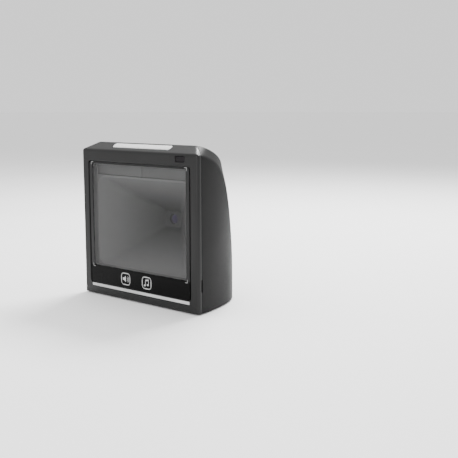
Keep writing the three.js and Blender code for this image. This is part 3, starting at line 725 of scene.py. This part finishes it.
def status_opening():
    bar, play = STATUS_BAR, 0.35
    along, half_width = bar["along"] * BROW_LENGTH, bar["width"] / 2 + play
    outline = rounded_rect(-bar["half"] - play, bar["half"] + play,
                           along - half_width, along + half_width, 2.6)
    return loft_piece("cutter", [on_brow([(x, y, z) for x, y in outline]) for z in (-6, 3)], BLACK)


def make_bezel(shell):
    """The front of the casing and its brow, with openings for the window, sensor and status bar."""
    half = SEAM / 2
    side = [(BELOW, BELOW), (SEAM_Y - half, BELOW), (SEAM_Y - half, SHOULDER_Z),
            (CREST_Y - half, CREST_HEIGHT), (CREST_Y - half, ABOVE), (BELOW, ABOVE)]
    region = prism(side, "x", -90, 90)
    brow = box_cutter((-BROW_HALF, BROW_HALF), (BELOW - 1, CREST_Y - half), (100, ABOVE + 1))
    cut(region, brow, "UNION")
    bezel = cut(copy_of(shell, "front_bezel_shell"), region, "INTERSECT")
    cut(bezel, flared(window_opening, ((-1, 1.2), (0.1, 0.45), (0.35, 0.12), (0.7, 0), (6, 0))))
    cut(bezel, flared(sensor_opening, ((-1, 0.35), (0.35, 0), (6, 0))))
    groove = SILL_BOX["half"] + PLAY
    cut(bezel, box_cutter((-groove, groove), (-1, SILL_BOX["depth"] + PLAY),
                          (SILL_BOX["bottom"] - PLAY, WINDOW["bottom"] + 0.5)))
    cut(bezel, status_opening())
    latch_slots(bezel)
    return adopt(bezel, SHELL, "casing", "housing_plastic", ("front_bezel",))


def make_housing(shell):
    """The rest of the casing, with the cover's outline cut out and a blank badge recess."""
    half = SEAM / 2
    side = [(SEAM_Y + half, BELOW), (BEHIND, BELOW), (BEHIND, ABOVE), (CREST_Y + half, ABOVE),
            (CREST_Y + half, CREST_HEIGHT), (SEAM_Y + half, SHOULDER_Z)]
    housing = cut(copy_of(shell, "rear_housing_shell"), prism(side, "x", -90, 90), "INTERSECT")
    brow = BROW_HALF + SEAM
    cut(housing, box_cutter((-brow, brow), (BELOW, CREST_Y + half), (100, ABOVE)))
    cut(housing, cover_region(SEAM))
    badge = prism(BADGE, "z", 60, ABOVE)
    cut(badge, core(BADGE_DEPTH))
    cut(housing, badge)
    latch_slots(housing)
    return adopt(housing, SHADED_SHELL, "casing", "housing_plastic", ("rear_housing",))


def make_cover(shell):
    """The cable cover, with a hook on the inside of each tab that reaches up behind the housing."""
    cover = cut(copy_of(shell, "cable_cover_shell"), cover_region(0), "INTERSECT")
    for low, high, top in NOTCHES:
        cut(cover, prism(rounded_rect(low, high, -8, top, 2), "y", 60, 90))
    for side in (-1, 1):
        x = side * (COVER["outer"] - HOOK["inset"])
        across, along = (x - HOOK["half"], x + HOOK["half"]), (50, DEPTH)
        hook = box_cutter(across, along, (HOOK["low"], COVER["top"] + HOOK["rise"]))
        cut(hook, core(WALL + HOOK["front"]), "INTERSECT")
        root = box_cutter(across, along, HOOK["root"])
        cut(root, core(HOOK["root_depth"]), "INTERSECT")
        cut(hook, root, "UNION")
        cut(hook, core(WALL + HOOK["back"]))
        cut(cover, hook, "UNION")
    return adopt(cover, SHADED_SHELL, "cover", "housing_plastic", ("cable_cover",))


def revolve(name, profile, centre, material, axis="z", segments=48, **roles):
    """Closed turned piece from (radius, height) pairs, first and last on the axis."""
    vertices, faces, levels = [], [], profile[1:-1]
    for radius, height in levels:
        for i in range(segments):
            a = 2 * math.pi * i / segments
            u, v = radius * math.cos(a), radius * math.sin(a)
            spot = (u, v, height) if axis == "z" else (u, height, -v)
            vertices.append([p + q for p, q in zip(centre, spot)])
    for height in (profile[0][1], profile[-1][1]):
        spot = (0, 0, height) if axis == "z" else (0, height, 0)
        vertices.append([p + q for p, q in zip(centre, spot)])
    low, high = len(vertices) - 2, len(vertices) - 1
    for i in range(segments):
        j = (i + 1) % segments
        faces.append((low, j, i))
        last = (len(levels) - 1) * segments
        faces.append((high, last + i, last + j))
        for level in range(len(levels) - 1):
            a, b = level * segments + i, level * segments + j
            faces.append((a, b, b + segments, a + segments))
    return make_piece(name, vertices, faces, material, **roles)


def make_base():
    """Base plate with ribs, notches, screw and foot pockets, sound slots and a label recess."""
    base = casing_mesh("base_plate_panel", WALL + PLAY)
    cut(base, box_cutter((-WIDTH, WIDTH), (BELOW, BEHIND), (-1, BASE_THICK)), "INTERSECT")
    for y in (22, 44):
        rib = box_cutter((-40, 20), (y, y + 1.2), (BASE_THICK - 0.1, BASE_THICK + 1.6))
        cut(base, rib, "UNION")
    for low, high, _ in NOTCHES:
        cut(base, prism(rounded_rect(low, high, 68, 90, 2), "z", -1, 5))
    screw_pocket = [(0, -1), (3.5, -1), (3.1, 0.4), (3.1, 1.3), (0, 1.3)]
    for x, y in BASE_SCREWS:
        cut(base, revolve("cutter", screw_pocket, (x, y, 0), BLACK))
    r = FOOT_R + PLAY
    for x, y in FEET:
        cut(base, revolve("cutter", [(0, -1), (r, -1), (r, 0.9), (0, 0.9)], (x, y, 0), BLACK))
    for i in range(-2, 3):
        y = SPEAKER[1] + i * SOUND_SLOT["pitch"]
        reach, half = SOUND_SLOT["reach"] - abs(i) * SOUND_SLOT["taper"], SOUND_SLOT["half"]
        slot = rounded_rect(SPEAKER[0] - reach, SPEAKER[0] + reach, y - half, y + half, 0.8)
        cut(base, prism(slot, "z", -1, 5))
    cut(base, prism(rounded_rect(*LABEL, 1.5), "z", -1, 0.3))
    return adopt(base, BLACK, "casing", "black_plastic", ("base_plate",))


def make_feet_and_screws():
    for i, (x, y) in enumerate(FEET, 1):
        revolve(f"foot_pad_{i}", FOOT_PROFILE, (x, y, 0), RUBBER, body="casing", slot="rubber",
                replaces=(f"rubber_foot_{i}",))
    profile = [(radius, SCREW_SEAT + height) for radius, height in SCREW_PROFILE]
    for i, (x, y) in enumerate(BASE_SCREWS, 1):
        head = revolve(f"base_screw_head_{i}", profile, (x, y, 0), STEEL, segments=32)
        for a, b in ((1.7, 0.35), (0.35, 1.7)):
            cut(head, box_cutter((x - a, x + a), (y - b, y + b), (-2, SCREW_SEAT - 0.55)))
        adopt(head, STEEL, "casing", "steel", (f"base_screw_{i}",))


# ---- front details ------------------------------------------------------------------
def ring_plate(name, outline, hole, y0, y1, material, chamfer=0.0, **roles):
    ring = plate(name, outline, y0, y1, material, chamfer)
    cut(ring, prism(hole, "y", y0 - 1, y1 + 1))
    return adopt(ring, material, **roles)


def make_pane():
    """The pane, the border and band printed on it, and the liner and gasket behind it."""
    p, c, g = PANE_BOX, CLEAR, GASKET_BOX
    outline = rounded_rect(-p["half"], p["half"], p["bottom"], p["top"], 2, 12)
    plate("window_pane", outline, p["y"], p["y"] + p["thick"], PANE, 0.2, body="casing",
          slot="window_glass", replaces=("scan_window",))
    side = p["half"] + PRINT_OVERHANG
    border = rounded_rect(-side, side, c["bottom"] - 1, p["top"] + PRINT_OVERHANG, 1.8, 12)
    clear = rounded_rect(-c["half"], c["half"], c["bottom"] - 2, c["top"], 1.5, 12)
    ring_plate("window_border", border, clear, p["y"] - 0.1, p["y"] - 0.03, BORDER, body="casing",
               slot="housing_plastic")
    band = rounded_rect(-side, side, p["bottom"] - PRINT_OVERHANG, c["bottom"], 1.5, 12)
    plate("touch_band", band, p["y"] - 0.2, p["y"] - 0.12, INK, body="casing", slot="black_plastic")
    reveal = [rounded_rect(-x, x, c["bottom"] + d, REVEAL_TOP - d, 2, 12) for x, d in REVEAL_STEPS]
    ring_plate("reveal_liner", *reveal, g["y"] + 0.1, FUNNEL["near_y"] - 0.05, SHROUD, body="casing",
               slot="shroud_plastic")
    frame_line = rounded_rect(-g["half"], g["half"], g["bottom"], g["top"], 3, 12)
    ring_plate("gasket_ring", frame_line, rounded_rect(*GASKET_MOUTH, 2, 12), g["y"], g["y"] + g["thick"],
               RUBBER, 0.3, body="casing", slot="rubber", replaces=("window_gasket",))


def stroke(path, width, closed=False):
    """Quadrilaterals that draw a path, one per segment, each a little longer than its segment."""
    shapes = []
    ends = zip(path, path[1:] + path[:1]) if closed else zip(path, path[1:])
    for (x0, z0), (x1, z1) in ends:
        length = math.hypot(x1 - x0, z1 - z0) or 1
        ux, uz = (x1 - x0) / length * width / 2, (z1 - z0) / length * width / 2
        ex, ez = ux * STROKE_LAP, uz * STROKE_LAP
        shapes.append([(x0 - uz - ex, z0 + ux - ez), (x0 + uz - ex, z0 - ux - ez),
                       (x1 + uz + ex, z1 - ux + ez), (x1 - uz + ex, z1 + ux + ez)])
    return shapes


def ellipse(cx, cz, rx, rz, low=0, high=360, steps=28):
    turns = [math.radians(low + (high - low) * i / steps) for i in range(steps + 1)]
    return [(cx + rx * math.cos(a), cz + rz * math.sin(a)) for a in turns]


def printed(name, shapes, material):
    """Thin figures just in front of the pane, which stand for print on it."""
    y0, y1 = PANE_BOX["y"] - 0.26, PANE_BOX["y"] - 0.22
    vertices, faces = [], []
    for shape in shapes:
        start, count = len(vertices), len(shape)
        vertices += [(x, y0, z) for x, z in shape] + [(x, y1, z) for x, z in shape]
        faces.append(tuple(range(start, start + count)))
        faces.append(tuple(reversed(range(start + count, start + 2 * count))))
        for i in range(count):
            j = (i + 1) % count
            faces.append((start + i, start + count + i, start + count + j, start + j))
    return make_piece(name, vertices, faces, material, body="casing", slot="sill_plastic")


def loudspeaker(x, z):
    """A box, a horn and two sound waves."""
    shapes = [[(x - 3.6, z - 1.1), (x - 2.0, z - 1.1), (x - 2.0, z + 1.1), (x - 3.6, z + 1.1)],
              [(x - 2.0, z - 1.1), (x + 0.2, z - 2.9), (x + 0.2, z + 2.9), (x - 2.0, z + 1.1)]]
    for radius in (2.0, 3.5):
        shapes += stroke(ellipse(x + 0.4, z, radius, radius, -48, 48, 10), 0.55)
    return shapes


def music_note(x, z):
    """Two note heads with stems, joined by a slanting beam."""
    shapes = []
    for dx, lift in ((-1.9, -2.4), (1.9, -1.7)):
        stem = x + dx + 0.45
        shapes.append(ellipse(x + dx - 0.5, z + lift, 1.15, 0.85)[:-1])
        shapes += stroke([(stem, z + lift), (stem, z + lift + 4.9)], 0.5)
    shapes.append([(x - 1.7, z + 1.6), (x + 2.6, z + 2.3), (x + 2.6, z + 3.5), (x - 1.7, z + 2.8)])
    return shapes


def make_symbols():
    t = TOUCH
    for side, name, figure in ((-1, "loudspeaker_symbol", loudspeaker), (1, "note_symbol", music_note)):
        x, z = t["centre"] + side * t["spread"], t["z"]
        pad = rounded_rect(x - t["half_w"], x + t["half_w"], z - t["half_h"], z + t["half_h"], 2.9)
        printed(name, stroke(pad, 0.8, closed=True) + figure(x, z), PRINT)


def make_corner_marks():
    c, m = CLEAR, CORNER_MARK
    marks = []
    for side in (-1, 1):
        x = side * (c["half"] + m["out"])
        for z, up in ((c["bottom"] - m["out"], 1), (c["top"] + m["out"], -1)):
            marks += stroke([(x - side * m["arm"], z), (x, z), (x, z + up * m["arm"])], m["width"])
    printed("corner_marks", marks, MARK)


def make_sill():
    """Light strip under the window, with a fine upright rib every millimetre."""
    s, crest, groove, bevel = SILL_BOX, 0.2, 0.35, 0.25
    outline = []
    for x in range(-s["half"], s["half"]):
        outline += [(x, groove), (x + 0.3, crest), (x + 0.7, crest)]
    outline += [(s["half"], groove), (s["half"], s["depth"]), (-s["half"], s["depth"])]
    levels = ((s["bottom"], bevel), (s["bottom"] + bevel, 0), (s["top"] - bevel, 0), (s["top"], bevel))
    rings = [[(x, max(y, crest + lift), z) for x, y in outline] for z, lift in levels]
    loft_piece("sill_strip", rings, SILL, body="casing", slot="sill_plastic", replaces=("sill_trim",))


def make_sensor_window():
    s, play = SENSOR_BOX, 0.25
    a, b = s["w"] / 2 - play, s["h"] / 2 - play
    outline = rounded_rect(s["x"] - a, s["x"] + a, s["z"] - b, s["z"] + b, 0.9, 10)
    plate("sensor_cover", outline, 0.2, 1.9, SENSOR_TINT, 0.25, body="casing",
          slot="black_plastic", replaces=("sensor_window",))


def make_status():
    """Long light in the brow, with a softly domed top."""
    along, half, w = STATUS_BAR["along"] * BROW_LENGTH, STATUS_BAR["half"], STATUS_BAR["width"] / 2
    rings = []
    for z, shrink in ((-2.6, 0), (-0.1, 0), (0.12, 0.12), (0.26, 0.4), (0.32, 0.8)):
        outline = rounded_rect(-half + shrink, half - shrink, along - w + shrink, along + w - shrink,
                               2.2 - shrink, 12)
        rings.append(on_brow([(x, y, z) for x, y in outline]))
    loft_piece("status_bar", rings, STATUS, body="casing", slot="clear_plastic",
               replaces=("status_lens",))


# ---- behind the pane ----------------------------------------------------------------
def funnel_ring(t, grow, radius):
    """Section of the funnel, from t=0 at the window to t=1 at the camera."""
    (h0, l0, t0), (h1, l1, t1) = FUNNEL["near"], FUNNEL["far"]
    half, low, high = h0 + (h1 - h0) * t + grow, l0 + (l1 - l0) * t - grow, t0 + (t1 - t0) * t + grow
    y = FUNNEL["near_y"] + (FUNNEL["far_y"] - FUNNEL["near_y"]) * t
    return [(x, y, z) for x, z in rounded_rect(-half, half, low, high, radius, 8)]


def make_funnel():
    """Funnel from the window to the camera, with a slot above it for the light bar."""
    f, bar = FUNNEL, LIGHT_BAR
    stations = np.linspace(0, 1, 21)
    outer = [funnel_ring(t, f["wall"], 5 - 2 * t) for t in stations]
    funnel = loft_piece("light_funnel", outer, SHROUD)
    flange = prism(rounded_rect(*FLANGE, 2), "y", f["near_y"], f["near_y"] + FLANGE_THICK)
    cut(funnel, flange, "UNION")
    inner = [funnel_ring(t, 0, 9 - 5.5 * t) for t in (-0.03, *stations[1:-1], 0.97)]
    cut(funnel, loft_piece("cutter", inner, SHROUD))
    end = bar["end"] + PLAY
    slot = rounded_rect(-end, end, bar["low"] - PLAY, bar["high"] + PLAY, 1)
    cut(funnel, prism(slot, "y", f["near_y"] - 1, f["near_y"] + 3))
    hole = [(0, -4), (APERTURE_R + 2.2, -4), (APERTURE_R, -0.4), (APERTURE_R, 2), (0, 2)]
    cut(funnel, revolve("cutter", hole, (0, f["far_y"], CAMERA_Z), BLACK, "y"))
    adopt(funnel, SHROUD, "casing", "shroud_plastic", ("optical_shroud",))


def make_light_bar():
    bar, y0 = LIGHT_BAR, FUNNEL["near_y"] + 0.3
    for side, name in ((-1, "left"), (1, "right")):
        x0, x1 = sorted((side * bar["start"], side * bar["end"]))
        rings = []
        for y, shrink in ((y0 + 2.1, 0), (y0 + 0.3, 0), (y0, 0.35)):
            outline = rounded_rect(x0 + shrink, x1 - shrink, bar["low"] + shrink, bar["high"] - shrink,
                                   1 - shrink)
            rings.append([(x, y, z) for x, z in outline])
        loft_piece(f"light_strip_{name}", rings, DIFFUSER, body="casing", slot="clear_plastic",
                   replaces=(f"light_lens_{name}",))


def make_optics():
    """Lens tube with three focus grooves, and the front of the lens in its mouth."""
    centre = (0, FUNNEL["far_y"] + 0.3, CAMERA_Z)
    tube_r, groove_r, lens_r = 7.2, 6.9, 3.9
    profile = [(0, 6.7), (tube_r, 6.7)]
    for step in range(3):
        rise = 5.2 - 1.8 * step
        profile += [(tube_r, rise), (groove_r, rise - 0.1), (groove_r, rise - 0.5), (tube_r, rise - 0.6)]
    profile += [(tube_r, 0.2), (7.0, 0), (APERTURE_R, 0), (4.0, 0.5), (0, 0.5)]
    revolve("lens_tube", profile, centre, TUBE, "y", body="casing", slot="black_plastic",
            replaces=("lens_barrel",))
    dome = [(lens_r * math.sin(a), 0.4 - math.cos(a)) for a in np.linspace(0.1, 1.5, 9)]
    revolve("lens_dome", [(0, -0.6), *dome, (lens_r, 0.45), (0, 0.45)], centre, LENS_GLASS, "y",
            body="casing", slot="window_glass", replaces=("lens_element",))


# ---- staging ------------------------------------------------------------------------
LIGHT_AIM = (0, 0, 0.07)
SOFTBOXES = (  # name, place, size, watts
    ("overhead_softbox", (-0.2, 0.1, 1.1), (0.9, 0.9), 9),
    ("rear_softbox", (-0.12, 0.75, 0.95), (0.6, 0.35), 30),
    ("window_fill", (0.35, -1.1, 0.35), (0.5, 0.5), 5),
)
WORLD_STRENGTH = 1.2
FLOOR_REACH = 30.0


def area_light(name, place, size, power):
    lamp = bpy.data.lights.new(name, "AREA")
    lamp.shape = "RECTANGLE"
    lamp.size, lamp.size_y = size
    lamp.energy = power
    holder = bpy.data.objects.new(name, lamp)
    bpy.context.scene.collection.objects.link(holder)
    holder.location = place
    holder.rotation_mode = "QUATERNION"
    holder.rotation_quaternion = (Vector(place) - Vector(LIGHT_AIM)).to_track_quat("Z", "Y")


def make_floor():
    n = Nodes("floor_surface")
    soft = n.noise(6, 3.0)
    n.link(n.blend(soft, grey(0.93), grey(0.97)), n.shader.inputs["Base Color"])
    n.link(n.ramp(soft, 0.6, 0.75), n.shader.inputs["Roughness"])
    mesh = bpy.data.meshes.new("floor")
    r = FLOOR_REACH
    mesh.from_pydata([(-r, -r, 0), (r, -r, 0), (r, r, 0), (-r, r, 0)], [], [(0, 1, 2, 3)])
    floor = bpy.data.objects.new("floor", mesh)
    bpy.context.scene.collection.objects.link(floor)
    mesh.materials.append(n.material)


def make_studio():
    world = bpy.data.worlds.new("studio")
    bpy.context.scene.world = world
    world.use_nodes = True
    back = world.node_tree.nodes["Background"]
    back.inputs["Color"].default_value = (1, 1, 1, 1)
    back.inputs["Strength"].default_value = WORLD_STRENGTH
    for name, place, size, power in SOFTBOXES:
        area_light(name, place, size, power)


shell = cut(casing_mesh("shell"), core(WALL))
make_bezel(shell)
make_housing(shell)
make_cover(shell)
bpy.data.objects.remove(shell)
make_base()
make_feet_and_screws()
make_pane()
make_symbols()
make_corner_marks()
make_sill()
make_sensor_window()
make_status()
make_funnel()
make_light_bar()
make_optics()
make_floor()
make_studio()
